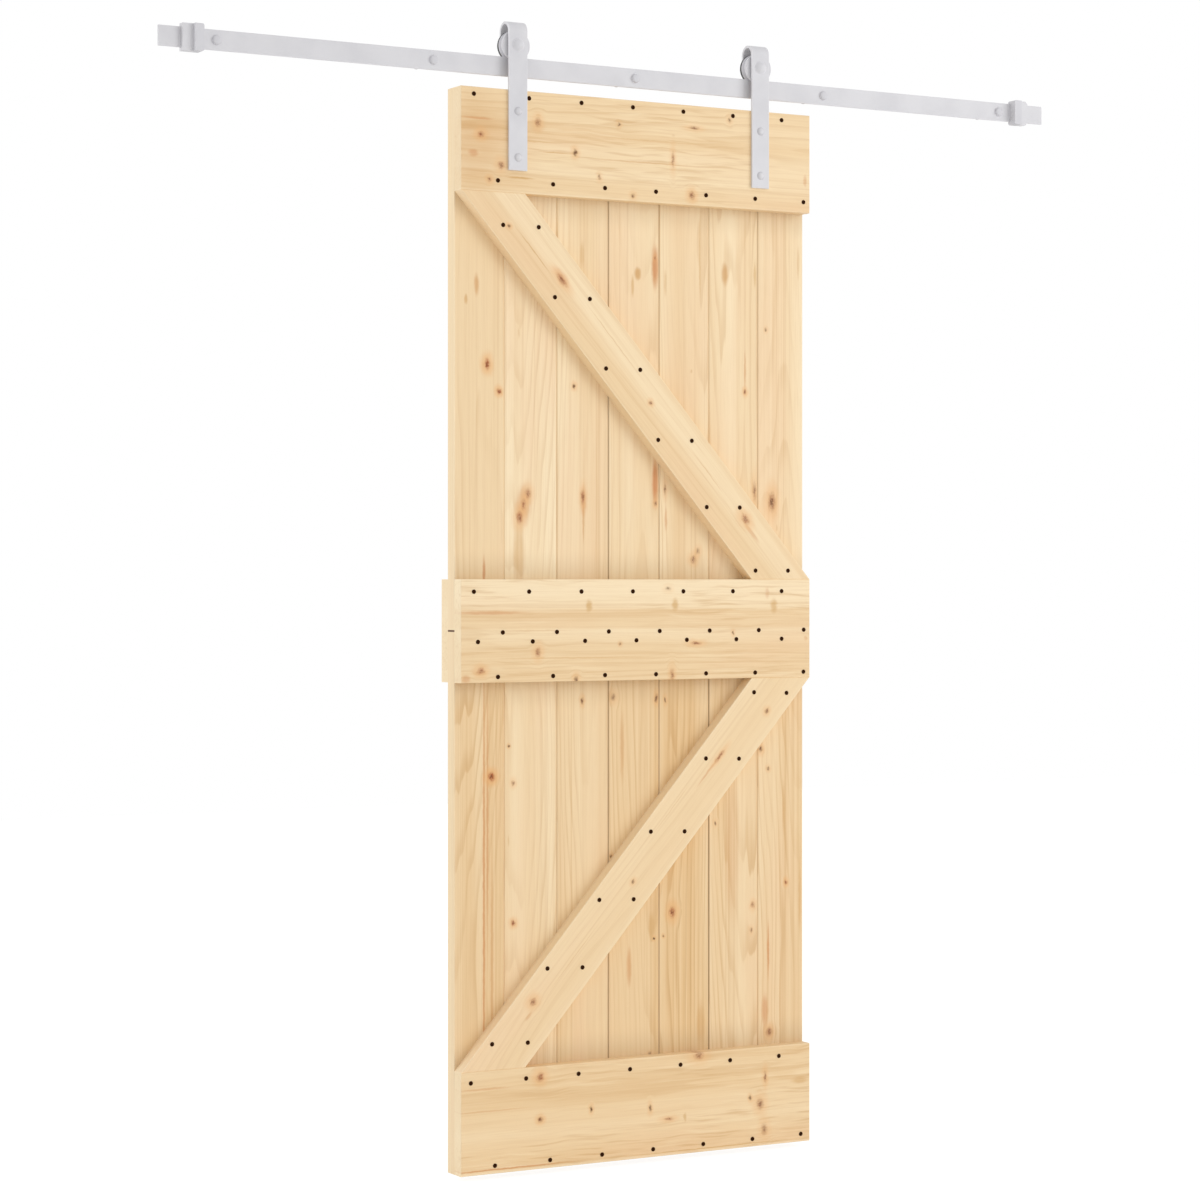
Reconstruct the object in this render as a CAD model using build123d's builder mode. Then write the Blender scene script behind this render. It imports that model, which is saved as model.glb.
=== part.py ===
"""Sliding plank door hung from a flat wall track by two strap hangers with grooved wheels.

The frame has its origin on the wall, at the middle of the central spacer's back face.
+X runs along the track to the right, +Y goes into the wall and +Z is up. Sizes are in millimetres.
"""

import os

from build123d import *

os.makedirs("parts", exist_ok=True)

# Door leaf
DOOR_WIDTH = 800.0
DOOR_HEIGHT = 2100.0
RAIL_HEIGHT = 200.0
RAIL_THICKNESS = 28.0
BACK_RAIL_THICKNESS = 28.0
BRACE_END = 140.0
EASED_EDGE = 1.0
DOOR_PLACE = 5.5

# Tongue and groove boards, whose two outer ones are trimmed to the leaf's width
BOARD_COUNT = 7
BOARD_THICKNESS = 28.0
EDGE_TRIM = 8.1
SEAM_BEVEL = 2.0
TONGUE_LENGTH = 8.0
TONGUE_THICKNESS = 8.0
TONGUE_CLEARANCE = 0.3

# Flat track and its wall fixings
TRACK_LENGTH = 2015.0
TRACK_HEIGHT = 38.0
TRACK_THICKNESS = 5.0
FIXING_COUNT = 5
FIXING_INSET = 31.0
SPACER_RADIUS = 7.0
WALL_BOLT_RADIUS = 4.0
WALL_BOLT_HEAD_RADIUS = 7.0
WALL_BOLT_HEAD_HEIGHT = 4.5
WALL_BOLT_SETBACK = 1.0

# End stops, each a steel collar and a rubber bumper that the track runs through
STOP_INSET = 43.6
STOP_RISE = 6.5
STOP_BACK_WALL = 2.0
COLLAR_WIDTH = 21.6
COLLAR_WALL = 8.5
COLLAR_CORNER = 5.8
BUMPER_WIDTH = 18.0
BUMPER_WALL = 17.0
BUMPER_ROUND = 4.0

# Wheels
GROOVE_RADIUS = 22.2
FLANGE_DEPTH = 7.3
WHEEL_THICKNESS = 24.0
GROOVE_TAPER = 2.0
HUB_RADIUS = 12.0
HUB_PROUD = 2.7

# Strap hangers
HANGER_FROM_SEAM = 13.5
STRAP_WIDTH = 40.0
STRAP_THICKNESS = 5.0
STRAP_ROUND = 14.0
WHEEL_HEADROOM = 12.0
UPPER_BOLT_DROP = 41.4
LOWER_BOLT_DROP = 131.4
STRAP_END_MARGIN = 25.0
STRAP_BOLT_RADIUS = 4.0
STRAP_BOLT_HEAD_RADIUS = 8.5
STRAP_BOLT_HEAD_HEIGHT = 4.5
AXLE_RADIUS = 5.0
AXLE_HEAD_RADIUS = 13.0
AXLE_HEAD_HEIGHT = 6.0

# Flanged nuts behind the door and behind the hangers
NUT_HEIGHT = 8.0
NUT_WALL = 3.5
NUT_FLANGE_WALL = 5.5
NUT_FLANGE_HEIGHT = 1.6
BOLT_TAIL = 2.0

# Clearances and the bevel on the edges of the flat bars
HOLE_CLEARANCE = 0.25
BORE_CLEARANCE = 0.05
HUB_CLEARANCE = 0.3
ROLLING_CLEARANCE = 0.3
GROOVE_CLEARANCE = 0.6
GRIP_CLEARANCE = 0.2
DOOR_DROP = 27.0
WALL_GAP = 6.0
BAR_BEVEL = 0.6

# Depths, from the wall out to the front of the straps
board_back = -WALL_GAP - BACK_RAIL_THICKNESS
board_middle = board_back - BOARD_THICKNESS / 2
board_front = board_back - BOARD_THICKNESS
door_front = board_front - RAIL_THICKNESS
strap_front = door_front - STRAP_THICKNESS
strap_gap = WHEEL_THICKNESS + 2 * HUB_PROUD + 2 * HUB_CLEARANCE
track_middle = door_front + strap_gap / 2
track_back = track_middle + TRACK_THICKNESS / 2
track_front = track_middle - TRACK_THICKNESS / 2
strap_back = door_front + strap_gap + STRAP_THICKNESS

# Heights, from the track's centre line
track_top = TRACK_HEIGHT / 2
axle_height = track_top + ROLLING_CLEARANCE + GROOVE_RADIUS
wheel_radius = GROOVE_RADIUS + FLANGE_DEPTH
bend_centre = axle_height + wheel_radius + WHEEL_HEADROOM - strap_gap / 2
door_top = -track_top - DOOR_DROP
door_bottom = door_top - DOOR_HEIGHT
door_middle = door_top - DOOR_HEIGHT / 2
strap_bolt_heights = [door_top - UPPER_BOLT_DROP, door_top - LOWER_BOLT_DROP]
strap_bottom = strap_bolt_heights[-1] - STRAP_END_MARGIN

# Places along the track
door_left = DOOR_PLACE - DOOR_WIDTH / 2
door_right = DOOR_PLACE + DOOR_WIDTH / 2
stop_outer_end = TRACK_LENGTH / 2 - STOP_INSET
bumper_face = stop_outer_end - COLLAR_WIDTH - BUMPER_WIDTH
fixing_span = 2 * (bumper_face - FIXING_INSET)
fixing_places = [fixing_span * (step / (FIXING_COUNT - 1) - 0.5) for step in range(FIXING_COUNT)]
board_pitch = (DOOR_WIDTH + 2 * EDGE_TRIM) / BOARD_COUNT
inner_seams = [door_left - EDGE_TRIM + step * board_pitch for step in range(1, BOARD_COUNT)]
seams = [door_left, *inner_seams, door_right]
hanger_places = {
    "left": inner_seams[0] + HANGER_FROM_SEAM,
    "right": inner_seams[-1] - HANGER_FROM_SEAM,
}


def save(piece, label):
    """Name a finished piece and write its file."""
    piece.label = label
    export_step(piece, f"parts/{label}.step")


def facing_plane(depth):
    """Upright plane at a depth, with X to the right, Z up and its normal out of the wall."""
    return Plane.XZ.offset(-depth)


def bolt_plane(place, depth, height):
    """Plane through a bolt's axis: local x is radial and local y runs into the wall."""
    return Plane(origin=(place, depth, height), x_dir=(1, 0, 0), z_dir=(0, 0, 1))


def bolt_axis(place, depth, height):
    """Axis of a bolt or wheel, pointing into the wall."""
    return Axis((place, depth, height), (0, 1, 0))


def add_domed_bolt(place, depth, height, head_radius, head_height, shank_radius, shank_length):
    """Revolve one round-headed bolt whose head bears on the face at this depth."""
    with BuildSketch(bolt_plane(place, depth, height)) as profile:
        with BuildLine():
            TangentArc((0, -head_height), (head_radius, 0), tangent=(1, 0))
            Polyline(
                (head_radius, 0),
                (shank_radius, 0),
                (shank_radius, shank_length),
                (0, shank_length),
                (0, -head_height),
            )
        make_face()
    revolve(profile.sketch, axis=bolt_axis(place, depth, height))


def add_flanged_nut(place, depth, height, shank_radius):
    """Raise one hexagon nut and its round flange behind the face at this depth."""
    bore = shank_radius + HOLE_CLEARANCE
    with BuildSketch(facing_plane(depth)) as flange:
        with Locations((place, height)):
            Circle(shank_radius + NUT_FLANGE_WALL)
            Circle(bore, mode=Mode.SUBTRACT)
    extrude(flange.sketch, amount=-NUT_FLANGE_HEIGHT)
    with BuildSketch(facing_plane(depth)) as hexagon:
        with Locations((place, height)):
            RegularPolygon(shank_radius + NUT_WALL, 6, major_radius=False)
            Circle(bore, mode=Mode.SUBTRACT)
    extrude(hexagon.sketch, amount=-NUT_HEIGHT)


def cut_round_holes(places, depth, heights, shank_radius):
    """Drill clearance holes straight through, one at each place and height, from this depth on."""
    with Locations(facing_plane(depth)):
        with Locations(*[(place, height) for place in places for height in heights]):
            Hole(shank_radius + HOLE_CLEARANCE)


# Boards, in two lengths that butt behind the middle rail
board_levels = {"upper": (door_middle, door_top), "lower": (door_bottom, door_middle)}
for number in range(BOARD_COUNT):
    left_edge, right_edge = seams[number], seams[number + 1]
    for level, (low, high) in board_levels.items():
        with BuildPart() as board:
            with BuildSketch(Plane.XY.offset(low)) as section:
                with Locations(((left_edge + right_edge) / 2, board_middle)):
                    Rectangle(right_edge - left_edge, BOARD_THICKNESS)
                seam_corners = [
                    corner for corner in section.vertices() if door_left < corner.X < door_right
                ]
                chamfer(seam_corners, SEAM_BEVEL)
                if number > 0:
                    with Locations((left_edge, board_middle)):
                        Rectangle(
                            2 * (TONGUE_LENGTH + TONGUE_CLEARANCE),
                            TONGUE_THICKNESS + 2 * TONGUE_CLEARANCE,
                            mode=Mode.SUBTRACT,
                        )
                if number < BOARD_COUNT - 1:
                    with Locations((right_edge, board_middle)):
                        Rectangle(2 * TONGUE_LENGTH, TONGUE_THICKNESS)
            extrude(amount=high - low)
            if level == "upper":
                cut_round_holes(
                    hanger_places.values(), board_front, strap_bolt_heights, STRAP_BOLT_RADIUS
                )
        save(board.part, f"{level}_board_{number + 1}")

# Front rails across the full width
rail_bottoms = {
    "top_rail": door_top - RAIL_HEIGHT,
    "middle_rail": door_middle - RAIL_HEIGHT / 2,
    "bottom_rail": door_bottom,
}
for name, low in rail_bottoms.items():
    with BuildPart() as rail:
        with BuildSketch(facing_plane(board_front)):
            with Locations((DOOR_PLACE, low + RAIL_HEIGHT / 2)):
                Rectangle(DOOR_WIDTH, RAIL_HEIGHT)
        extrude(amount=RAIL_THICKNESS)
        chamfer(rail.faces().sort_by(Axis.Y)[0].edges(), EASED_EDGE)
        if name == "top_rail":
            cut_round_holes(hanger_places.values(), door_front, strap_bolt_heights, STRAP_BOLT_RADIUS)
    save(rail.part, name)

# Rail on the back, behind the joint of the two board lengths
with BuildPart() as back_rail:
    with BuildSketch(facing_plane(board_back)):
        with Locations((DOOR_PLACE, door_middle)):
            Rectangle(DOOR_WIDTH, RAIL_HEIGHT)
    extrude(amount=-BACK_RAIL_THICKNESS)
    chamfer(back_rail.faces().sort_by(Axis.Y)[-1].edges(), EASED_EDGE)
save(back_rail.part, "back_middle_rail")

# Diagonal braces: each has level ends that meet the rails above and below it
brace_spans = {
    "upper_brace": (rail_bottoms["top_rail"], rail_bottoms["middle_rail"] + RAIL_HEIGHT),
    "lower_brace": (rail_bottoms["bottom_rail"] + RAIL_HEIGHT, rail_bottoms["middle_rail"]),
}
for name, (left_height, right_height) in brace_spans.items():
    with BuildPart() as brace:
        with BuildSketch(facing_plane(board_front)):
            with BuildLine():
                Polyline(
                    (door_left, left_height),
                    (door_left + BRACE_END, left_height),
                    (door_right, right_height),
                    (door_right - BRACE_END, right_height),
                    close=True,
                )
            make_face()
        extrude(amount=RAIL_THICKNESS)
        chamfer(brace.faces().sort_by(Axis.Y)[0].edges(), EASED_EDGE)
    save(brace.part, name)

# Flat track
with BuildPart() as track:
    with BuildSketch(facing_plane(track_back)):
        Rectangle(TRACK_LENGTH, TRACK_HEIGHT)
    extrude(amount=TRACK_THICKNESS)
    chamfer(track.edges().filter_by(Axis.X), BAR_BEVEL)
    cut_round_holes(fixing_places, track_front, [0], WALL_BOLT_RADIUS)
save(track.part, "track")

# Tubular spacers between the track and the wall
with BuildPart() as spacers:
    with BuildSketch(facing_plane(0)):
        with Locations(*[(place, 0) for place in fixing_places]):
            Circle(SPACER_RADIUS)
            Circle(WALL_BOLT_RADIUS + HOLE_CLEARANCE, mode=Mode.SUBTRACT)
    extrude(amount=-track_back)
save(spacers.part, "wall_spacers")

# Bolts that hold the track to the wall, ending just short of its surface
with BuildPart() as wall_bolts:
    for place in fixing_places:
        add_domed_bolt(
            place,
            track_front,
            0,
            WALL_BOLT_HEAD_RADIUS,
            WALL_BOLT_HEAD_HEIGHT,
            WALL_BOLT_RADIUS,
            -track_front - WALL_BOLT_SETBACK,
        )
save(wall_bolts.part, "track_bolts")

# End stops: most of each stands in front of the track, and the right collar's outer corners are cut
grip_depth = TRACK_THICKNESS + 2 * GRIP_CLEARANCE
grip_height = TRACK_HEIGHT + 2 * GRIP_CLEARANCE
stop_height = TRACK_HEIGHT + 2 * STOP_RISE
stop_back = track_back + GRIP_CLEARANCE + STOP_BACK_WALL
for side, sign in {"left": -1, "right": 1}.items():
    collar_middle = sign * (stop_outer_end - COLLAR_WIDTH / 2)
    bumper_middle = sign * (bumper_face + BUMPER_WIDTH / 2)

    with BuildPart() as collar:
        with BuildSketch(facing_plane(stop_back)) as outline:
            with Locations((collar_middle, 0)):
                Rectangle(COLLAR_WIDTH, stop_height)
            if side == "right":
                chamfer(outline.vertices().group_by(Axis.X)[-1], COLLAR_CORNER)
        extrude(amount=stop_back - track_front + COLLAR_WALL)
        with Locations((collar_middle, track_middle, 0)):
            Box(COLLAR_WIDTH, grip_depth, grip_height, mode=Mode.SUBTRACT)
    save(collar.part, f"{side}_stop_collar")

    with BuildPart() as bumper:
        with BuildSketch(facing_plane(stop_back)) as outline:
            with Locations((bumper_middle, 0)):
                Rectangle(BUMPER_WIDTH, stop_height)
            fillet(outline.vertices().group_by(Axis.X)[-1 if side == "left" else 0], BUMPER_ROUND)
        extrude(amount=stop_back - track_front + BUMPER_WALL)
        with Locations((bumper_middle, track_middle, 0)):
            Box(BUMPER_WIDTH, grip_depth, grip_height, mode=Mode.SUBTRACT)
    save(bumper.part, f"{side}_stop_bumper")

# Hangers: each is a strap bent over its wheel
for side, place in hanger_places.items():
    with BuildPart() as strap:
        with BuildSketch(Plane.YZ.offset(place)):
            with BuildLine():
                back_end = axle_height - STRAP_WIDTH / 2
                Polyline(
                    (strap_front, bend_centre),
                    (strap_front, strap_bottom),
                    (door_front, strap_bottom),
                    (door_front, bend_centre),
                )
                ThreePointArc(
                    (door_front, bend_centre),
                    (track_middle, bend_centre + strap_gap / 2),
                    (strap_back - STRAP_THICKNESS, bend_centre),
                )
                Polyline(
                    (strap_back - STRAP_THICKNESS, bend_centre),
                    (strap_back - STRAP_THICKNESS, back_end),
                    (strap_back, back_end),
                    (strap_back, bend_centre),
                )
                ThreePointArc(
                    (strap_back, bend_centre),
                    (track_middle, bend_centre + strap_gap / 2 + STRAP_THICKNESS),
                    (strap_front, bend_centre),
                )
            make_face()
        extrude(amount=STRAP_WIDTH / 2, both=True)
        back_corners = strap.edges().filter_by(Axis.Y).group_by(Axis.Y)[-1]
        fillet(back_corners, STRAP_ROUND)
        cut_round_holes([place], strap_front, [axle_height], AXLE_RADIUS)
        cut_round_holes([place], strap_front, strap_bolt_heights, STRAP_BOLT_RADIUS)
    save(strap.part, f"{side}_hanger_strap")

# Axle bolts, the bolts through the straps and the door, and the nuts of both
with BuildPart() as axle_bolts:
    for place in hanger_places.values():
        add_domed_bolt(
            place,
            strap_front,
            axle_height,
            AXLE_HEAD_RADIUS,
            AXLE_HEAD_HEIGHT,
            AXLE_RADIUS,
            strap_back - strap_front + NUT_HEIGHT + BOLT_TAIL,
        )
save(axle_bolts.part, "axle_bolts")

with BuildPart() as strap_bolts:
    for place in hanger_places.values():
        for height in strap_bolt_heights:
            add_domed_bolt(
                place,
                strap_front,
                height,
                STRAP_BOLT_HEAD_RADIUS,
                STRAP_BOLT_HEAD_HEIGHT,
                STRAP_BOLT_RADIUS,
                board_back - strap_front + NUT_HEIGHT + BOLT_TAIL,
            )
save(strap_bolts.part, "strap_bolts")

with BuildPart() as axle_nuts:
    for place in hanger_places.values():
        add_flanged_nut(place, strap_back, axle_height, AXLE_RADIUS)
save(axle_nuts.part, "axle_nuts")

with BuildPart() as strap_nuts:
    for place in hanger_places.values():
        for height in strap_bolt_heights:
            add_flanged_nut(place, board_back, height, STRAP_BOLT_RADIUS)
save(strap_nuts.part, "strap_nuts")

# Grooved wheels that straddle the track's top edge
half_wheel = WHEEL_THICKNESS / 2
half_hub = half_wheel + HUB_PROUD
groove_floor = TRACK_THICKNESS / 2 + GROOVE_CLEARANCE
groove_mouth = groove_floor + GROOVE_TAPER
bore_radius = AXLE_RADIUS + BORE_CLEARANCE
for side, place in hanger_places.items():
    with BuildPart() as wheel:
        with BuildSketch(bolt_plane(place, track_middle, axle_height)):
            with BuildLine():
                half_section = Polyline(
                    (bore_radius, 0),
                    (bore_radius, half_hub),
                    (HUB_RADIUS, half_hub),
                    (HUB_RADIUS, half_wheel),
                    (wheel_radius, half_wheel),
                    (wheel_radius, groove_mouth),
                    (GROOVE_RADIUS, groove_floor),
                    (GROOVE_RADIUS, 0),
                )
                mirror(half_section, about=Plane.XZ)
            make_face()
        revolve(axis=bolt_axis(place, track_middle, axle_height))
    save(wheel.part, f"{side}_wheel")
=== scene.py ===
"""Looks of a sliding plank door that hangs from a flat wall track.

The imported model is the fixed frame. One operator for each group of like pieces gives them a finish that is
worked out from their own place. One of these also sets wide heads over the track's bolts, one more adds the
black screws of the rails and braces, and the last one sets the stage. Lengths are in metres, in the frame of
the model.
"""

import math

import bpy
import numpy as np
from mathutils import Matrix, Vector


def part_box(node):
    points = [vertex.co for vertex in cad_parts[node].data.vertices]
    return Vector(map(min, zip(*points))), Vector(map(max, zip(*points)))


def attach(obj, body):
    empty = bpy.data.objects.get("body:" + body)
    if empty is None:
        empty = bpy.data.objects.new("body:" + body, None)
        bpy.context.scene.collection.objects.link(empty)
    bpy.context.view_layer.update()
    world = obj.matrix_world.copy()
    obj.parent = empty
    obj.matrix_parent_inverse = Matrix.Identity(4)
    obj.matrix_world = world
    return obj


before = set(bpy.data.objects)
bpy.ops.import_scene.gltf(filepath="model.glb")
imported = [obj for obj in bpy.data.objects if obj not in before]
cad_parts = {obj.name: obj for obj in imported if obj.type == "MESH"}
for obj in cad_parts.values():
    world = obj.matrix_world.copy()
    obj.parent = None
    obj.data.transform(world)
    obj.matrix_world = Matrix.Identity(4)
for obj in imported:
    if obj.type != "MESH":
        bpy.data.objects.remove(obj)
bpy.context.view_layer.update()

bl_info = {
    "name": "Sliding plank door",
    "version": (1, 0, 0),
    "blender": (4, 5, 0),
    "location": "View3D > Sidebar > Plank Door",
    "description": "Finishes of a pine plank door and its painted track, with the screws and the stage",
    "category": "Object",
}

MM = 0.001

# The leaf, read from the frame
BOARD_NUMBERS = range(1, 8)
LEVELS = ("upper", "lower")
leaf_low, leaf_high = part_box("bottom_rail")[0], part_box("top_rail")[1]
leaf_middle = (leaf_low.x + leaf_high.x) / 2
leaf_half = (leaf_high.x - leaf_low.x) / 2
rail_front = leaf_low.y
board_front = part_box("upper_board_1")[0].y
board_lefts = [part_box(f"upper_board_{number}")[0].x for number in BOARD_NUMBERS]
seam_places = [*board_lefts, leaf_high.x]

# Level width of a brace's end, and how far a wheel's hub stands out behind its rear rim
BRACE_END = 140 * MM
HUB_PROUD = 2.7 * MM


def linear(red, green, blue):
    """Linear colour of an sRGB shade with values up to 255: the usual power curve with its short foot."""
    share = np.array((red, green, blue)) / 255
    curve = np.where(share <= 0.04045, share / 12.92, ((share + 0.055) / 1.055) ** 2.4)
    return tuple(curve.tolist())


def length_property(label, text, default):
    """A length that a user may change."""
    return bpy.props.FloatProperty(
        name=label, description=text, default=default, unit="LENGTH", precision=5
    )


def share_property(label, text, default):
    """A share that a user may change, up to twice the whole."""
    return bpy.props.FloatProperty(
        name=label, description=text, default=default, min=0, max=2, subtype="FACTOR"
    )


def colour_property(label, text, shade):
    """A colour, whose default is given as an sRGB shade."""
    return bpy.props.FloatVectorProperty(
        name=label, description=text, default=linear(*shade), size=3, min=0, max=1, subtype="COLOR"
    )


def power_property(label, text, default):
    """The power of a lamp."""
    return bpy.props.FloatProperty(name=label, description=text, default=default, unit="POWER")


class PineLooks(bpy.types.PropertyGroup):
    """Shades and figure of the pine."""

    sapwood: colour_property("Sapwood", "Palest wood, near the bark", (250, 228, 190))
    heartwood: colour_property("Heartwood", "Warmer wood, near the pith", (232, 197, 147))
    blush: colour_property("Blush", "Slow pink change of the wood", (238, 196, 154))
    latewood: colour_property("Latewood", "Dark line at the end of each ring", (205, 160, 102))
    # Pale wood of the sawn sides and rubbed edges; on the leaf's sides it is partly painted light that lifts
    # them to the front's brightness
    sawn: colour_property("Sawn side", "Pale wood on sawn sides and rubbed edges", (253, 235, 200))
    knot_red: colour_property("Red knot", "Body of a live knot", (168, 80, 30))
    knot_brown: colour_property("Brown knot", "Body of a dead knot", (112, 76, 38))
    knot_eye: colour_property("Knot eye", "Dark middle of a knot", (92, 58, 30))
    knot_halo: colour_property("Knot halo", "Resin-rich wood round a knot", (232, 174, 110))
    stain_red: colour_property("Red stain", "Reddish smear beside a branch", (206, 134, 78))
    stain_tan: colour_property("Tan stain", "Olive tan smear in the grain", (210, 166, 102))
    groove: colour_property("Groove", "Shaded wood in the grooves between boards", (150, 114, 72))
    # Painted shade: a neutral brown that darkens the boards' fronts towards the rails that stand on them
    painted_ledge_shade: colour_property("Dusk", "Dust and shade gathered on the boards along the rails", (142, 124, 98))
    ring_width: length_property("Ring width", "Growth of one year", 6.5 * MM)
    ring_depth: share_property("Ring depth", "How far the rings stand out", 0.27)
    streak_depth: share_property("Streak depth", "How far the fine straight streaks stand out", 0.31)
    wear: share_property("Wear", "How far the eased edges are rubbed pale", 0.35)


class SteelLooks(bpy.types.PropertyGroup):
    """Paint of the track, hangers, stops and wheels."""

    paint: colour_property("Paint", "Pale grey satin paint", (217, 216, 219))
    # Darker tone of the paint, in slow clouds and grit over all the paint; as the whole colour of the track
    # bolts' heads it is painted shade that dims their lit domes
    paint_tone_and_painted_shade: colour_property("Paint shade", "Paint where it lies thin", (206, 205, 209))
    bare: colour_property("Bare steel", "Steel where the wheels have rubbed the paint away", (178, 178, 182))
    rubber: colour_property("Rubber", "Pale grey bumper rubber", (214, 213, 217))
    rear_rim: colour_property("Rear rim", "Nearly black edge of each wheel's rear rim", (44, 43, 46))
    # Painted shade: a grey ring on the flanks of the strap bolts' heads, seen as a dark crescent on their
    # near side
    foot: colour_property("Foot", "Grey on the flanks of the strap bolts' heads", (146, 145, 150))
    # Paler paint: worn paint and painted highlight on the bars' edges, and painted light on bolt heads'
    # flanks and the wheels' groove floors
    worn_paint_and_painted_light: colour_property("Edge", "Paint worn bright on edges and flanks", (232, 231, 235))


class ScrewSizes(bpy.types.PropertyGroup):
    """Black screws that hold rails and braces to the boards."""

    head_radius: length_property("Head radius", "Radius of a screw's low round head", 4.4 * MM)
    head_rise: length_property("Head rise", "Height of the head above the wood", 1.1 * MM)
    recess_depth: length_property("Recess depth", "Depth of the cross recess", 0.9 * MM)
    pitch: length_property("Pitch", "Distance between screws in a row, one to a board", 116.6 * MM)
    black: colour_property("Black", "Brownish black steel", (50, 23, 3))
    brown: colour_property("Brown", "Browner spots in the black", (64, 38, 14))


class BoltSizes(bpy.types.PropertyGroup):
    """Domed heads of the bolts that hold the track."""

    head_radius: length_property("Head radius", "Radius of a track bolt's domed head", 9.0 * MM)
    head_rise: length_property("Head rise", "Height of the dome above the track's face", 4.8 * MM)


class StudioLooks(bpy.types.PropertyGroup):
    """Camera, lamps and floor."""

    camera_place: bpy.props.FloatVectorProperty(
        name="Camera place",
        description="Where the camera stands",
        default=(-3.0836, -5.4125, -0.9991),
        subtype="TRANSLATION",
        unit="LENGTH",
    )
    camera_turn: bpy.props.FloatProperty(
        name="Camera turn",
        description="Turn of the camera to the right of the wall's normal",
        default=math.radians(29.374),
        subtype="ANGLE",
    )
    camera_lens: bpy.props.FloatProperty(
        name="Lens", description="Focal length for a 36 mm wide sensor", default=92.946, unit="CAMERA"
    )
    camera_drop: bpy.props.FloatProperty(
        name="Frame drop", description="Shift of the level camera's frame, in widths", default=-0.01594
    )
    ambient: share_property("Ambient", "Light from all round", 0.74)
    key_power: power_property("Key", "Soft lamp in front and to the right", 275)
    fill_power: power_property("Fill", "Large soft lamp to the left, behind the leaf's plane", 56)
    floor_gap: length_property("Floor gap", "Room between the leaf and the floor", 12 * MM)


class Field:
    """One socket of a node tree, so that shader maths reads as ordinary arithmetic."""

    def __init__(self, tree, socket=None):
        self.tree = tree
        self.socket = socket

    def make(self, kind, settings=None, inputs=None, output=0):
        """Add a node, set its settings and then its sockets, and return the wanted output."""
        node = self.tree.nodes.new(kind)
        for key, value in (settings or {}).items():
            setattr(node, key, value)
        for key, value in (inputs or {}).items():
            if isinstance(value, Field):
                self.tree.links.new(value.socket, node.inputs[key])
            else:
                node.inputs[key].default_value = value
        return Field(self.tree, node.outputs[output])

    def sibling(self, output):
        """Another output of the node that this one comes from."""
        return Field(self.tree, self.socket.node.outputs[output])

    def maths(self, operation, *values):
        """A Math node on values."""
        return self.make("ShaderNodeMath", {"operation": operation}, dict(enumerate(values)))

    def vector(self, operation, *values, output=0):
        """A Vector Math node."""
        return self.make("ShaderNodeVectorMath", {"operation": operation}, dict(enumerate(values)), output)

    def __add__(self, other):
        return self.maths("ADD", self, other)

    def __radd__(self, other):
        return self.maths("ADD", other, self)

    def __sub__(self, other):
        return self.maths("SUBTRACT", self, other)

    def __rsub__(self, other):
        return self.maths("SUBTRACT", other, self)

    def __mul__(self, other):
        return self.maths("MULTIPLY", self, other)

    def __rmul__(self, other):
        return self.maths("MULTIPLY", other, self)

    def __truediv__(self, other):
        return self.maths("DIVIDE", self, other)

    def __pow__(self, other):
        return self.maths("POWER", self, other)

    def __abs__(self):
        return self.maths("ABSOLUTE", self)

    def rise(self, start, end):
        """Smooth step from 0 at start to 1 at end; start may be the larger one."""
        return self.make(
            "ShaderNodeMapRange",
            {"interpolation_type": "SMOOTHSTEP"},
            {"Value": self, "From Min": start, "From Max": end},
        )

    def least(self, other):
        """The smaller of two values."""
        return self.maths("MINIMUM", self, other)

    def most(self, other):
        """The larger of two values."""
        return self.maths("MAXIMUM", self, other)

    def parts(self):
        """The three parts of a vector."""
        first = self.make("ShaderNodeSeparateXYZ", None, {0: self})
        return [first.sibling(axis) for axis in range(3)]

    def noise(self, across, along, detail=2.0, shift=(0, 0, 0), output=0):
        """Noise with this many waves to the metre across the grain and along it."""
        stretched = self.make(
            "ShaderNodeMapping",
            None,
            {"Vector": self, "Location": shift, "Scale": (across, across, along)},
        )
        return self.make(
            "ShaderNodeTexNoise", None, {"Vector": stretched, "Scale": 1.0, "Detail": detail}, output
        )

    def blend(self, share, low, high):
        """Colour between two others, each a field or a plain colour."""
        ends = [end if isinstance(end, Field) else (*end, 1) for end in (low, high)]
        sockets = {0: share, 6: ends[0], 7: ends[1]}
        return self.make("ShaderNodeMix", {"data_type": "RGBA"}, sockets, output=2)

    def tinted(self, share, colour):
        """This colour with another mixed in by a share."""
        return self.blend(share, self, colour)


def start_finish(name):
    """New material with one Principled shader: gives the material, its shader and a first field."""
    material = bpy.data.materials.new(name)
    material.use_nodes = True
    tree = material.node_tree
    shader = tree.nodes["Principled BSDF"]
    return material, shader, Field(tree)


def object_place(field):
    """Place on a piece, in the frame of the model."""
    return field.make("ShaderNodeTexCoord", output="Object")


def plug(shader, sheen, **fields):
    """Set the shader's sheen and link fields to its sockets; an underscore in a name stands for a space."""
    shader.inputs["Specular IOR Level"].default_value = sheen
    for name, field in fields.items():
        field.tree.links.new(field.socket, shader.inputs[name.replace("_", " ")])


def relief(height, distance, strength):
    """Normal of a surface raised by a height field up to a distance."""
    return height.make(
        "ShaderNodeBump", None, {"Height": height, "Distance": distance, "Strength": strength}
    )


def dress(node, material):
    """Give a CAD node its finish."""
    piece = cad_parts[node]
    piece.data.materials.clear()
    piece.data.materials.append(material)


def leaf_place(across, height):
    """Point of the frame, in metres, for millimetres from the leaf's left edge and bottom."""
    return leaf_low.x + across * MM, leaf_low.z + height * MM


def turned(x, z, angle):
    """Coordinates across and along a grain that leans by an angle: a turn about the depth axis."""
    across = x * math.cos(angle) + z * math.sin(angle)
    along = z * math.cos(angle) - x * math.sin(angle)
    return across, along
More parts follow.
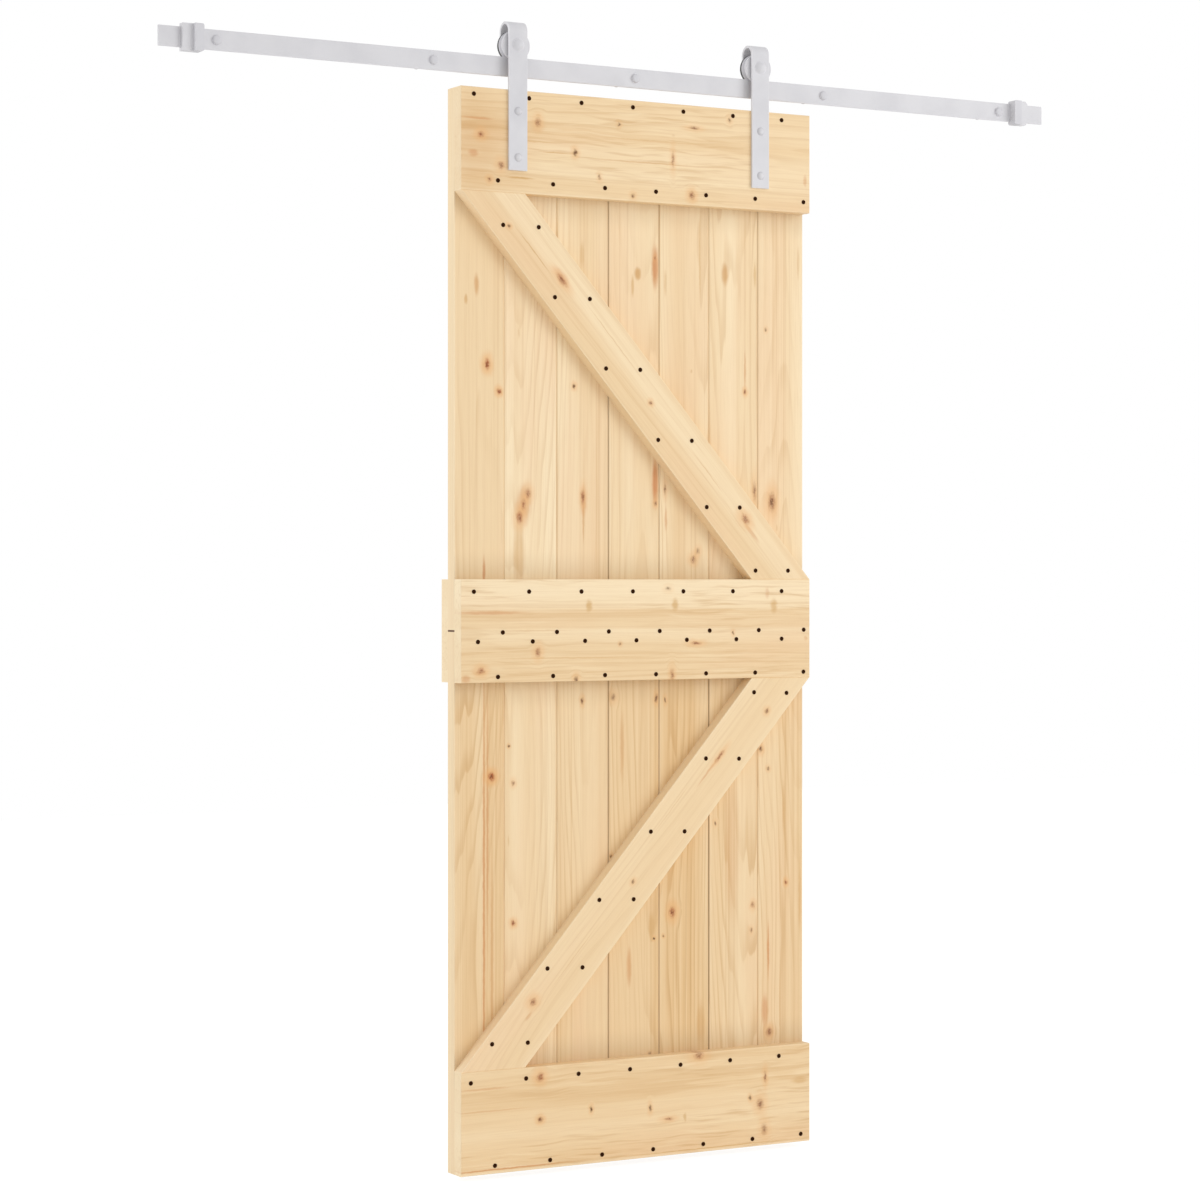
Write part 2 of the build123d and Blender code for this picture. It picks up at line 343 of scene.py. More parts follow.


# Marks in the wood are given in millimetres from the leaf's left edge and bottom.
# Knots: across, height, half width across the grain, half length along it, redness, depth
knots = {
    "upper_board_1": [(71, 1568, 7, 11, 1.0, 0.9), (97, 1516, 5, 6, 0.9, 0.9)],
    "upper_board_2": [(161, 1318, 7, 11, 0.8, 0.6), (151, 1296, 6, 11, 0.9, 0.5),
                      (142, 1270, 8, 13, 0.9, 0.65)],
    "upper_board_3": [(264, 1531, 4, 5, 0.1, 0.9), (284, 1312, 5, 15, 0.7, 0.6)],
    "upper_board_4": [(450, 1302, 4, 6, 0.4, 0.6), (449, 1793, 3, 5, 0.3, 0.4)],
    "upper_board_5": [(472, 1331, 4, 12, 0.4, 0.5), (538, 1190, 7, 8, 0.6, 0.6),
                      (549, 1207, 5, 7, 0.4, 0.4)],
    "upper_board_6": [(661, 1531, 3.5, 6, 0.6, 0.85), (684, 1330, 5, 22, 0.6, 0.45)],
    "upper_board_7": [(711, 1660, 3, 4, 0.1, 0.5), (726, 1308, 9, 20, 0.5, 0.8)],
    "lower_board_1": [(80, 766, 8, 9, 1.0, 1.0)],
    "lower_board_2": [(128, 753, 4, 6, 0.5, 0.6), (119, 825, 2, 3, 0.0, 0.9), (128, 479, 5, 6, 0.9, 0.75)],
    "lower_board_3": [(282, 910, 3.5, 7, 0.2, 0.8)],
    "lower_board_4": [(352, 916, 7, 8, 0.3, 0.5), (452, 912, 4, 9, 0.2, 0.9), (447, 432, 2.5, 3, 0.0, 0.8),
                      (346, 600, 4, 5, 0.1, 0.6), (437, 202, 4, 4, 0.1, 0.5)],
    "lower_board_5": [(472, 908, 3, 7, 0.1, 0.8), (489, 482, 8, 12, 0.9, 0.8),
                      (468, 435, 2.5, 3, 0.2, 0.7)],
    "lower_board_6": [(590, 657, 3, 5, 0.0, 0.5), (680, 486, 4.5, 7, 0.7, 0.55),
                      (676, 435, 3.5, 6, 0.4, 0.45)],
    "lower_board_7": [(699, 804, 5, 7, 0.1, 0.8), (717, 764, 3.5, 4, 0.1, 0.6),
                      (760, 529, 3.5, 6, 0.8, 0.8), (719, 225, 7, 9, 0.6, 0.85)],
    "top_rail": [(43, 2009, 7, 8, 0.9, 0.65), (168, 2041, 10, 7, 0.7, 0.55), (87, 1952, 9, 8, 0.7, 0.5),
                 (61, 1923, 5, 5, 0.6, 0.6), (251, 1987, 7, 5.5, 0.1, 0.85), (474, 1988, 17, 4, 0.7, 0.5),
                 (523, 2055, 4, 13, 0.5, 0.5), (518, 1919, 9, 7, 0.6, 0.7), (382, 1910, 6, 5, 0.2, 0.6),
                 (305, 1943, 6, 4, 0.3, 0.5), (350, 2050, 4, 4, 0.1, 0.5), (607, 2077, 6, 4, 0.1, 0.5)],
    "middle_rail": [(43, 973, 7, 9, 0.9, 0.65), (168, 1008, 10, 7, 0.7, 0.55), (253, 952, 8, 5, 0.1, 0.85),
                    (528, 1022, 4, 13, 0.8, 0.6), (472, 959, 13, 5, 0.8, 0.5), (463, 1131, 5, 7, 0.0, 0.35),
                    (615, 1042, 4, 3, 0.1, 0.7), (353, 1022, 3.5, 3, 0.3, 0.6)],
    "bottom_rail": [(173, 179, 9, 9, 0.9, 0.65), (173, 96, 6, 6, 0.4, 0.85), (287, 107, 6, 3.5, 0.0, 0.8),
                    (535, 195, 10, 13, 0.8, 0.5), (421, 98, 8, 3.5, 0.1, 0.7), (465, 73, 3.5, 12, 0.8, 0.55),
                    (680, 85, 12, 9, 0.5, 0.6), (656, 99, 5, 3.5, 0.0, 0.75), (692, 139, 13, 4, 0.6, 0.55),
                    (690, 33, 13, 8, 0.5, 0.45)],
    "back_middle_rail": [(240, 1085, 9, 7, 0.4, 0.6), (565, 1010, 7, 8, 0.6, 0.6)],
    "upper_brace": [(221, 1736, 6, 17, 0.8, 0.65), (423, 1501, 4, 5, 0.5, 0.7),
                    (644, 1272, 8, 13, 0.7, 0.75), (104, 1835, 4, 4, 0.1, 0.85)],
    "lower_brace": [(696, 882, 5, 6, 0.3, 0.7), (584, 794, 4, 17, 0.9, 0.6), (157, 327, 8, 9, 0.7, 0.65),
                    (382, 550, 4, 5, 0.1, 0.75)],
}

# Stains and long resin lines without a heart, in the same order of numbers
stains = {
    "upper_board_1": [(48, 1722, 7, 24, 0.4, 0.75), (25, 1692, 5, 11, 0.2, 0.7),
                      (64, 1160, 4, 38, 1.0, 0.7)],
    "upper_board_2": [(151, 1296, 20, 46, 0.6, 0.5), (141, 1200, 14, 80, 0.1, 0.5),
                      (141, 1632, 3, 14, 0.1, 0.3)],
    "upper_board_3": [(282, 1790, 6, 32, 0.1, 0.4), (285, 1305, 8, 34, 0.8, 0.45),
                      (285, 1262, 3, 45, 0.4, 0.5)],
    "upper_board_4": [(449, 1775, 10, 50, 0.8, 0.95), (409, 1760, 9, 15, 0.2, 0.95),
                      (397, 1735, 4, 26, 0.1, 0.6), (449, 1345, 9, 54, 0.9, 0.9)],
    "upper_board_5": [(473, 1745, 4, 32, 0.1, 0.4), (534, 1570, 3, 5, 0.1, 0.4),
                      (474, 1270, 4, 28, 0.9, 0.4), (554, 1790, 2, 120, 0.1, 0.45)],
    "upper_board_6": [(613, 1768, 10, 26, 0.3, 0.85), (661, 1575, 3, 45, 0.9, 0.4),
                      (685, 1771, 4, 32, 0.0, 0.5)],
    "upper_board_7": [(738, 1255, 3, 10, 0.0, 0.35), (790, 1800, 4, 40, 0.1, 0.4)],
    "lower_board_1": [(64, 560, 3, 560, 0.9, 0.75), (72, 690, 3, 320, 0.8, 0.6),
                      (82, 400, 4, 280, 0.5, 0.45)],
    "lower_board_2": [(118, 640, 2, 14, 0.0, 0.4)],
    "lower_board_3": [(205, 690, 5, 90, 0.4, 0.55), (214, 560, 3, 60, 0.3, 0.3)],
    "lower_board_4": [(373, 816, 6, 78, 0.5, 0.5), (441, 455, 10, 32, 0.1, 0.5),
                      (389, 378, 7, 44, 0.6, 0.6)],
    "lower_board_5": [(556, 250, 12, 55, 0.2, 0.6)],
    "lower_board_6": [(630, 600, 24, 160, 0.5, 0.28)],
    "lower_board_7": [(717, 392, 3, 68, 1.0, 0.7), (709, 270, 10, 38, 0.9, 0.55),
                      (755, 680, 5, 65, 0.2, 0.4), (794, 500, 4, 90, 0.2, 0.5)],
    "top_rail": [(30, 1990, 130, 60, 0.3, 0.2), (60, 1975, 130, 115, 0.3, 0.2),
                 (128, 1930, 2.5, 34, 0.1, 0.8), (206, 1984, 1.5, 44, 0.1, 0.6), (35, 2040, 3, 40, 0.9, 0.4),
                 (27, 1972, 9, 13, 0.9, 0.45), (150, 2003, 2, 75, 0.1, 0.4), (420, 1978, 2, 170, 0.3, 0.4),
                 (430, 2022, 2, 150, 0.2, 0.3), (788, 1966, 14, 5, 0.7, 0.45)],
    "middle_rail": [(282, 1098, 15, 9, 0.0, 0.6), (479, 1100, 16, 9, 0.0, 0.6),
                    (713, 1096, 18, 10, 0.05, 0.6), (60, 1085, 4, 90, 0.9, 0.45),
                    (150, 1050, 2, 100, 0.2, 0.4), (10, 957, 10, 12, 0.8, 0.5),
                    (697, 1122, 14, 6, 0.8, 0.3), (790, 1030, 6, 5, 0.6, 0.4), (240, 996, 2, 190, 0.2, 0.4)],
    "bottom_rail": [(502, 73, 11, 4, 0.0, 0.5), (776, 126, 9, 24, 0.1, 0.55), (50, 165, 2.5, 65, 0.9, 0.35),
                    (60, 122, 2, 95, 0.7, 0.35), (100, 8, 2, 170, 0.8, 0.8), (560, 7, 1.2, 260, 0.1, 0.6)],
    "upper_brace": [(221, 1742, 11, 28, 0.9, 0.4), (658, 1246, 5, 32, 0.6, 0.5),
                    (160, 1788, 1.5, 64, 0.1, 0.6), (340, 1620, 1.5, 110, 0.1, 0.45),
                    (556, 1365, 1.5, 60, 0.2, 0.4)],
    "lower_brace": [(556, 763, 3, 44, 0.9, 0.5), (148, 300, 4, 14, 0.7, 0.4),
                    (250, 410, 1.5, 90, 0.2, 0.35), (470, 690, 1.5, 80, 0.1, 0.35)],
}

# Strips of another warmth, from the left edge on a board and from the bottom on a rail: low, high, warmth
bands = {
    "upper_board_1": [(0, 57, 0.50)],
    "lower_board_1": [(62, 108, 0.95)],
    "middle_rail": [(1092, 1155, 0.0), (1052, 1090, 0.66)],
    "bottom_rail": [(-1, 5, 0.0)],
}

# How warm each piece is, from the palest sapwood to the warmest heartwood
board_warmth = {
    "upper": (0.24, 0.12, 0.33, 0.33, 0.44, 0.24, 0.02),
    "lower": (0.62, 0.36, 0.70, 0.94, 0.80, 0.62, 0.70),
}
rail_warmth = {"top_rail": 0.52, "middle_rail": 0.43, "bottom_rail": 0.46, "back_middle_rail": 0.40}
brace_warmth = {"upper_brace": 0.36, "lower_brace": 0.30}

# How dark the grooves between the boards are, from the leaf's left edge to its right one
seam_shades = {
    "upper": (0.0, 0.0, 0.1, 0.5, 0.25, 0.08, 0.2, 0.0),
    "lower": (0.0, 0.0, 0.1, 0.52, 0.35, 0.62, 0.1, 0.0),
}

# How far rings and streaks stand out, how wavy the rails' grain is, and where the random draws start
liveliness = {"upper": 1.0, "lower": 1.2, "rail": 0.7, "brace": 0.5}
RAIL_WAVY = 1.0
first_seeds = {"upper": 41, "lower": 61, "rail": 100, "brace": 124}

# Parts of the pine's figure: waves to the metre across the grain and along it, and detail
figures = {
    "fibre": (700, 14, 2.0),
    "fleck": (330, 240, 2.0),
    "streak": (190, 0.55, 3.0),
    "ripple": (150, 70, 3.0),
    "pith_sway": (0.0, 1.1, 0.0),
    "pith_depth": (0.0, 0.8, 0.0),
    "ring_wobble": (26, 1.6, 2.0),
    "ring_patch": (18, 0.7, 2.0),
    "streak_patch": (12, 0.5, 1.0),
    "zone": (14, 0.35, 1.0),
    "blush": (8, 1.3, 2.0),
    "bend": (5, 11, 1.0),
    "dash": (150, 8, 2.0),
    "dash_patch": (9, 2.5, 1.0),
}
NOISE_ROOM = 9.0

# Where the parts of a mark begin and are full, counted from its middle, with 1 on its outline
FLOW_REACH = (4.0, 0.3)
HALO_REACH = (3.0, 0.8)
BODY_REACH = (1.3, 0.25)
EYE_REACH = (0.65, 0.1)
STAIN_REACH = (1.15, 0.3)
# Largest shares of the parts of a mark, and how far a knot draws the grain in
HALO_MOST = 0.8
BODY_MOST = 0.9
EYE_MOST = 0.7
STAIN_MOST = 0.9
FLOW_SHARE = 0.8
# How far outlines ripple, and how much of the ripple a stain takes across, through and along the grain
RIPPLE = 4 * MM
STAIN_RIPPLE = (0.4, 0.4, 1.0)
# Half depth of a mark in millimetres, which takes it right through the piece
THROUGH = 1e6

# The pith: how far it may lie aside, its sway, its foremost place, and its room and wander behind that
PITH_ASIDE = 70 * MM
PITH_SWAY = 50 * MM
PITH_NEAREST = -20 * MM
PITH_ROOM = 50 * MM
PITH_WANDER = 120 * MM
# How much less the pith wanders under a wavy grain, and how many rings the figure wobbles by
WAVY_CALM = 90 * MM
RING_WOBBLE = 2.6

# Shares of the other layers of the pine, and where they begin and are full or how far they reach
BLUSH_SHARE = 0.3
FIBRE_SHARE = 0.14
FIBRE_HEIGHT = 0.3 * MM
DASH_SHARE = 0.34
DASH_BEND = 14 * MM
BAND_SHARE = 0.8
BAND_EDGE = 3 * MM
SIDE_SKIN = (1.2 * MM, 0.4 * MM)
RUBBED_EDGE = (3.5 * MM, 0.3 * MM)
GROOVE_EDGE = (2.6 * MM, 0.8 * MM)
JOINT_EDGE = (2.0 * MM, 1.5 * MM)
FRONT_SKIN = (3 * MM, 1 * MM)
# Painted shade on the boards' fronts along the rails: how far it reaches and its largest share
PAINTED_LEDGE_SHADE_REACH = 62 * MM
PAINTED_LEDGE_SHADE_SHARE = 0.22
PINE_SHEEN = 0.3


class Grain:
    """Places across, through and along the grain of one piece of pine, and noise that follows it."""

    def __init__(self, spot, seed, angle):
        self.draw = np.random.default_rng(seed)
        self.angle = angle
        self.place = spot.make("ShaderNodeMapping", None, {"Vector": spot, "Rotation": (0, angle, 0)})
        self.across, self.depth, self.along = self.place.parts()

    def shift(self):
        """Random place in the noise."""
        return tuple(self.draw.uniform(-NOISE_ROOM, NOISE_ROOM, 3))

    def figure(self, kind, output=0):
        """One part of the figure, at its own random place in the noise."""
        return self.place.noise(*figures[kind], self.shift(), output)

    def reach(self, start, place, height, half_width, half_length):
        """Distance of a start place from a mark's middle, which is 1 on the mark's outline."""
        across, along = turned(*leaf_place(place, height), self.angle)
        sizes = np.array((half_width, THROUGH, half_length)) * MM
        centre = np.array((across, 0, along))
        scaled = start.vector("MULTIPLY_ADD", start, tuple(1 / sizes), tuple(-centre / sizes))
        return scaled.vector("LENGTH", scaled, output=1)


def knot_layers(grain, start, marks):
    """Flow of the grain round a piece's knots, and the halo, brown, red and eye of the knots.

    Each knot is an ellipse on the face. Near it, the distance across the grain is drawn in towards the
    knot's middle, so that the rings flow past it.
    """
    flow, halo, brown, red, eye = grain.across, 0.0, 0.0, 0.0, 0.0
    for place, height, half_width, half_length, redness, darkness in marks:
        reach = grain.reach(start, place, height, half_width, half_length)
        middle = turned(*leaf_place(place, height), grain.angle)[0]
        flow = flow - (grain.across - middle) * reach.rise(*FLOW_REACH) * FLOW_SHARE
        body = reach.rise(*BODY_REACH) * darkness
        red = body * redness + red
        brown = body * (1 - redness) + brown
        halo = reach.rise(*HALO_REACH) * ((0.45 + 0.2 * redness) * darkness) + halo
        eye = reach.rise(*EYE_REACH) * (darkness * (1 - 0.4 * redness)) + eye
    return flow, (halo, brown, red, eye)


def stain_layers(grain, start, streak, marks):
    """Tan and red of a piece's stains, which are streaky ellipses on the face."""
    tan, red = 0.0, 0.0
    for *place, redness, darkness in marks:
        smear = grain.reach(start, *place).rise(*STAIN_REACH) * (0.55 + 0.9 * streak) * darkness
        red = smear * redness + red
        tan = smear * (1 - redness) + tan
    return tan, red


def late_rings(grain, flow, edges, wavy):
    """Dark line at the end of each year's growth.

    Rings are shells round a pith that lies behind the piece and wanders along the grain, so the distance to
    it, counted in ring widths, gives the year.
    """
    ring_width = bpy.context.scene.pine_looks.ring_width
    home = (edges[0] + edges[1]) / 2 + grain.draw.uniform(-PITH_ASIDE, PITH_ASIDE)
    sideways = flow - home - (grain.figure("pith_sway") - 0.5) * PITH_SWAY
    behind = grain.depth - PITH_NEAREST - grain.draw.uniform(0.0, PITH_ROOM)
    behind = behind - grain.figure("pith_depth") * (PITH_WANDER - WAVY_CALM * wavy)
    rings = (sideways ** 2 + behind ** 2) ** 0.5 / ring_width + grain.figure("ring_wobble") * RING_WOBBLE
    year = rings.maths("FRACT", rings)
    return year.rise(0.50, 0.9) * year.rise(1.0, 0.93)


def pine(node, seed, angle, warmth, edges, seams=(), ledges=(), joint=None, lively=1.0, wavy=0.0):
    """Knotty pine as a solid texture, with the knots, stains and bands of the node.

    Angle is the lean of the grain, and edges are the piece's two long edges, in metres across the grain.
    Seams are (place, shade) of the grooves beside a board. Ledges are the places along the grain where rails
    stand on a board, and the board's front darkens smoothly towards them with painted shade. Joint is the
    place along the grain where a board butts on the next one. Lively is how far rings and streaks stand out,
    and wavy is how far the grain breaks into short wavy lines.
    """
    looks = bpy.context.scene.pine_looks
    material, shader, field = start_finish(node)
    spot = object_place(field)
    grain = Grain(spot, seed, angle)
    across = grain.across
    fibre = grain.figure("fibre")
    fleck = grain.figure("fleck").rise(0.40, 0.60)
    streak = grain.figure("streak")
    ripple = grain.figure("ripple", output=1)
    ripple = field.vector("MULTIPLY_ADD", ripple, (2 * RIPPLE,) * 3, (-RIPPLE,) * 3)
    rippled = field.vector("ADD", grain.place, ripple)
    feathered = field.vector("MULTIPLY_ADD", ripple, STAIN_RIPPLE, grain.place)
    flow, (halo, brown, red, eye) = knot_layers(grain, rippled, knots[node])
    stain_tan, stain_red = stain_layers(grain, feathered, streak, stains.get(node, ()))

    late = late_rings(grain, flow, edges, wavy)
    ring_depth = looks.ring_depth * (0.8 + 0.7 * warmth) * lively
    ring_share = late * (0.2 + grain.figure("ring_patch").rise(0.36, 0.68)) * ring_depth
    contrast = (0.25 + grain.figure("streak_patch").rise(0.38, 0.64)) * (looks.streak_depth * lively)
    zone = grain.figure("zone").rise(0.32, 0.68) * 0.5 + (warmth - 0.25)
    for *ends, shade in bands.get(node, ()):
        low, high = (turned(*leaf_place(end, end), angle)[0] for end in ends)
        above_low = across.rise(low - BAND_EDGE, low + BAND_EDGE)
        below_high = across.rise(high + BAND_EDGE, high - BAND_EDGE)
        zone = zone + (shade - zone) * (above_low * below_high * BAND_SHARE)

    wood = field.blend(zone.most(0.0).least(1.0), looks.sapwood, looks.heartwood)
    wood = wood.tinted(grain.figure("blush").rise(0.48, 0.72) * BLUSH_SHARE, looks.blush)
    wood = wood.tinted(ring_share, looks.latewood)
    wood = wood.tinted(streak.rise(0.44, 0.78) * contrast, looks.latewood)
    wood = wood.tinted(streak.rise(0.48, 0.2) * contrast, looks.sapwood)
    wood = wood.tinted(fibre.rise(0.45, 0.8) * FIBRE_SHARE, looks.latewood)
    if wavy:
        bend = grain.figure("bend", output=1)
        bent = field.vector("MULTIPLY_ADD", bend, (DASH_BEND, 0, 0), grain.place)
        dash = bent.noise(*figures["dash"], grain.shift())
        patch = (0.2 + grain.figure("dash_patch").rise(0.38, 0.62)) * (DASH_SHARE * wavy)
        wood = wood.tinted(dash.rise(0.52, 0.72) * patch, looks.latewood)
        wood = wood.tinted(dash.rise(0.46, 0.28) * patch, looks.sapwood)
    if node in stains:
        wood = wood.tinted(stain_tan.least(STAIN_MOST), looks.stain_tan)
        wood = wood.tinted(stain_red.least(STAIN_MOST), looks.stain_red)
    mottle = 0.65 + 0.55 * fleck
    wood = wood.tinted(halo.least(HALO_MOST), looks.knot_halo)
    wood = wood.tinted((brown * mottle).least(BODY_MOST), looks.knot_brown)
    wood = wood.tinted((red * mottle).least(BODY_MOST), looks.knot_red)
    wood = wood.tinted((eye * mottle).least(EYE_MOST), looks.knot_eye)

    # Paler wood on the leaf's two sides, more on the rails' end grain: partly the sawn wood's own colour and
    # partly painted light
    side = abs(spot.parts()[0] - leaf_middle).rise(*(leaf_half - skin for skin in SIDE_SKIN))
    wood = wood.tinted(side * (0.12 + 0.4 * wavy), looks.sawn)
    rub = (across - edges[0]).least(edges[1] - across).rise(*RUBBED_EDGE) * streak.rise(0.3, 0.6)
    wood = wood.tinted(rub * looks.wear, looks.sawn)
    for place, shade in seams:
        wood = wood.tinted(abs(across - place).rise(*GROOVE_EDGE) * shade, looks.groove)
    # Painted shade on each board's front, darkening smoothly towards the rails
    for place in ledges:
        front = grain.depth.rise(*(board_front + skin for skin in FRONT_SKIN))
        near = abs(grain.along - place).rise(PAINTED_LEDGE_SHADE_REACH, 0.0)
        wood = wood.tinted(near * front * PAINTED_LEDGE_SHADE_SHARE, looks.painted_ledge_shade)
    if joint is not None:
        wood = wood.tinted(abs(grain.along - joint).rise(*JOINT_EDGE), looks.knot_eye)

    plug(
        shader,
        PINE_SHEEN,
        Base_Color=wood,
        Roughness=0.46 + 0.2 * fibre - 0.1 * rub,
        Normal=relief(fibre + streak, FIBRE_HEIGHT, 0.4),
    )
    return material


class DressBoards(bpy.types.Operator):
    """Give the upright boards their knotty pine, each with its own figure"""

    bl_idname = "plank_door.dress_boards"
    bl_label = "Dress boards"

    def execute(self, context):
        ledges = {
            "upper": (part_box("top_rail")[0].z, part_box("middle_rail")[1].z),
            "lower": (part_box("middle_rail")[0].z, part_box("bottom_rail")[1].z),
        }
        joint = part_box("lower_board_1")[1].z
        for level in LEVELS:
            for number in BOARD_NUMBERS:
                node = f"{level}_board_{number}"
                seed = first_seeds[level] + number
                warmth = board_warmth[level][number - 1]
                sides = slice(number - 1, number + 1)
                edges = seam_places[sides]
                seams = list(zip(edges, seam_shades[level][sides]))
                marks = seams, ledges[level], joint
                dress(node, pine(node, seed, 0.0, warmth, edges, *marks, liveliness[level]))
        return {"FINISHED"}


class DressRails(bpy.types.Operator):
    """Give the rails their pine, with the grain running across the leaf"""

    bl_idname = "plank_door.dress_rails"
    bl_label = "Dress rails"

    def execute(self, context):
        strength = {"lively": liveliness["rail"], "wavy": RAIL_WAVY}
        for seed, (node, warmth) in enumerate(rail_warmth.items(), first_seeds["rail"]):
            low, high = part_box(node)
            dress(node, pine(node, seed, math.pi / 2, warmth, (low.z, high.z), **strength))
        return {"FINISHED"}


class DressBraces(bpy.types.Operator):
    """Give the diagonal braces pine whose grain follows their slope"""

    bl_idname = "plank_door.dress_braces"
    bl_label = "Dress braces"

    def execute(self, context):
        for node, warmth in brace_warmth.items():
            low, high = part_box(node)
            slope = math.atan2(high.x - low.x - BRACE_END, high.z - low.z)
            angle, start = (slope, high.z) if node == "upper_brace" else (-slope, low.z)
            edges = sorted(turned(x, start, angle)[0] for x in (low.x, low.x + BRACE_END))
            dress(node, pine(node, first_seeds["brace"], angle, warmth, edges, lively=liveliness["brace"]))
        return {"FINISHED"}


# Roughness of the painted pieces, and the waves to the metre of the paint's clouds and grit
PAINT_ROUGHNESS = 0.42
BOLT_ROUGHNESS = 0.36
SPACER_ROUGHNESS = 0.38
RUBBER_ROUGHNESS = 0.72
CLOUD_WAVES = 14
GRIT_WAVES = 900
GRIT_HEIGHT = 0.06 * MM
PAINT_SHEEN = 0.4

# Where the paint's tints begin and are full: worn paint and painted highlight in from an edge, worn paint
# down from the track's top, painted light out from the middle of the wheels' groove, painted light on the
# flanks of the axle and track bolts' heads and painted shade on those of the strap bolts, forward of the
# face under the heads, and the dark rim forward of a wheel's rear
WORN_HIGHLIT_EDGE = (1.6 * MM, 0.2 * MM)
WORN_TOP = (1.0 * MM, 0.2 * MM)
PAINTED_GROOVE_LIGHT = (9 * MM, 5 * MM)
PAINTED_FLANK_LIGHT = (2.6 * MM, 1.6 * MM)
PAINTED_FOOT_SHADE = (3.6 * MM, 1.2 * MM)
REAR_RIM = (6.0 * MM, 5.2 * MM)


def painted_steel(name, colour="paint", roughness=PAINT_ROUGHNESS, worn=()):
    """Satin paint: slow cloudy change of shade, and a fine grit in gloss and relief.

    Each worn function takes the place and the clouds as fields, and the looks, and gives the share and the
    colour of a tint; the tints are worn paint, painted highlights, painted light and painted shade.
    """
    looks = bpy.context.scene.steel_looks
    material, shader, field = start_finish(name)
    spot = object_place(field)
    cloud = spot.noise(CLOUD_WAVES, CLOUD_WAVES, 3.0)
    grit = spot.noise(GRIT_WAVES, GRIT_WAVES, 1.0)
    paint = field.blend(cloud.rise(0.35, 0.75) * 0.6, getattr(looks, colour), looks.paint_tone_and_painted_shade)
    paint = paint.tinted(grit.rise(0.55, 0.8) * 0.25, looks.paint_tone_and_painted_shade)
    for tint in worn:
        paint = paint.tinted(*tint(spot, cloud, looks))
    plug(
        shader,
        PAINT_SHEEN,
        Base_Color=paint,
        Roughness=roughness + 0.12 * grit + 0.1 * cloud,
        Normal=relief(grit, GRIT_HEIGHT, 0.6),
    )
    return material


def edge_wear_and_highlight(box, axis):
    """Paint worn bright along the two edges of a bar that a box bounds on one axis, with a painted highlight
    there too.
    """
    low, high = (corner[axis] for corner in box)

    def tint(spot, cloud, looks):
        place = spot.parts()[axis]
        edge = (place - low).least(high - place).rise(*WORN_HIGHLIT_EDGE)
        return edge * cloud.rise(0.35, 0.6) * 0.7, looks.worn_paint_and_painted_light

    return tint


def depth_tint(face, span, share, colour):
    """Tint that begins and is full at two distances forward of a face, as on heads that stand there."""
    start, end = (face - distance for distance in span)

    def tint(spot, cloud, looks):
        return spot.parts()[1].rise(start, end) * share, getattr(looks, colour)

    return tint


class DressHangers(bpy.types.Operator):
    """Paint the hanger straps, their bolts and their nuts"""

    bl_idname = "plank_door.dress_hangers"
    bl_label = "Dress hangers"

    def execute(self, context):
        for node in ("left_hanger_strap", "right_hanger_strap"):
            dress(node, painted_steel(node, worn=[edge_wear_and_highlight(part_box(node), 0)]))
        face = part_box("left_hanger_strap")[0].y
        # Painted light on the flanks of the axle bolts' heads, lightening their shaded side
        flank = depth_tint(face, PAINTED_FLANK_LIGHT, 0.4, "worn_paint_and_painted_light")
        dress("axle_bolts", painted_steel("axle_paint", roughness=BOLT_ROUGHNESS, worn=[flank]))
        # Painted shade on the flanks of the strap bolts' heads
        foot = depth_tint(face, PAINTED_FOOT_SHADE, 0.2, "foot")
        dress("strap_bolts", painted_steel("bolt_paint", roughness=BOLT_ROUGHNESS, worn=[foot]))
        nuts = painted_steel("nut_paint", roughness=BOLT_ROUGHNESS)
        for kind in ("axle", "strap"):
            dress(f"{kind}_nuts", nuts)
        return {"FINISHED"}


class DressWheels(bpy.types.Operator):
    """Paint the grooved wheels, with painted light on the groove floors and dark rear rims"""

    bl_idname = "plank_door.dress_wheels"
    bl_label = "Dress wheels"

    def execute(self, context):
        low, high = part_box("track")
        middle = (low.y + high.y) / 2
        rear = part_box("left_wheel")[1].y - HUB_PROUD

        # Painted light: paler paint on the groove floor, which lifts the groove out of its shade
        def painted_groove_light(spot, cloud, looks):
            groove = abs(spot.parts()[1] - middle).rise(*PAINTED_GROOVE_LIGHT) * cloud.rise(0.2, 0.6)
            return groove * 0.8, looks.worn_paint_and_painted_light

        dark_rim = depth_tint(rear, REAR_RIM, 1.0, "rear_rim")
        finish = painted_steel("wheel_paint", worn=[painted_groove_light, dark_rim])
        for node in ("left_wheel", "right_wheel"):
            dress(node, finish)
        return {"FINISHED"}


class DressTrack(bpy.types.Operator):
    """Paint the track and its wall spacers"""

    bl_idname = "plank_door.dress_track"
    bl_label = "Dress track"

    def execute(self, context):
        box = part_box("track")

        def rolled_top(spot, cloud, looks):
            top = spot.parts()[2].rise(*(box[1].z - distance for distance in WORN_TOP))
            return top * cloud.rise(0.3, 0.55) * 0.6, looks.bare

        dress("track", painted_steel("track_paint", worn=[edge_wear_and_highlight(box, 2), rolled_top]))
        dress("wall_spacers", painted_steel("spacer_paint", roughness=SPACER_ROUGHNESS))
        return {"FINISHED"}


# Points round a head
HEAD_SEGMENTS = 24

# Domed heads of the track's bolts: reach and rise of each ring, as shares of the radius and the height
TRACK_BOLTS = 5
DOME_REACH = (0.40, 0.98, 1.00, 1.00, 0.96, 0.86, 0.68, 0.42, 0.03)
DOME_RISE = (-0.04, -0.04, 0.00, 0.42, 0.66, 0.82, 0.93, 0.98, 1.00)


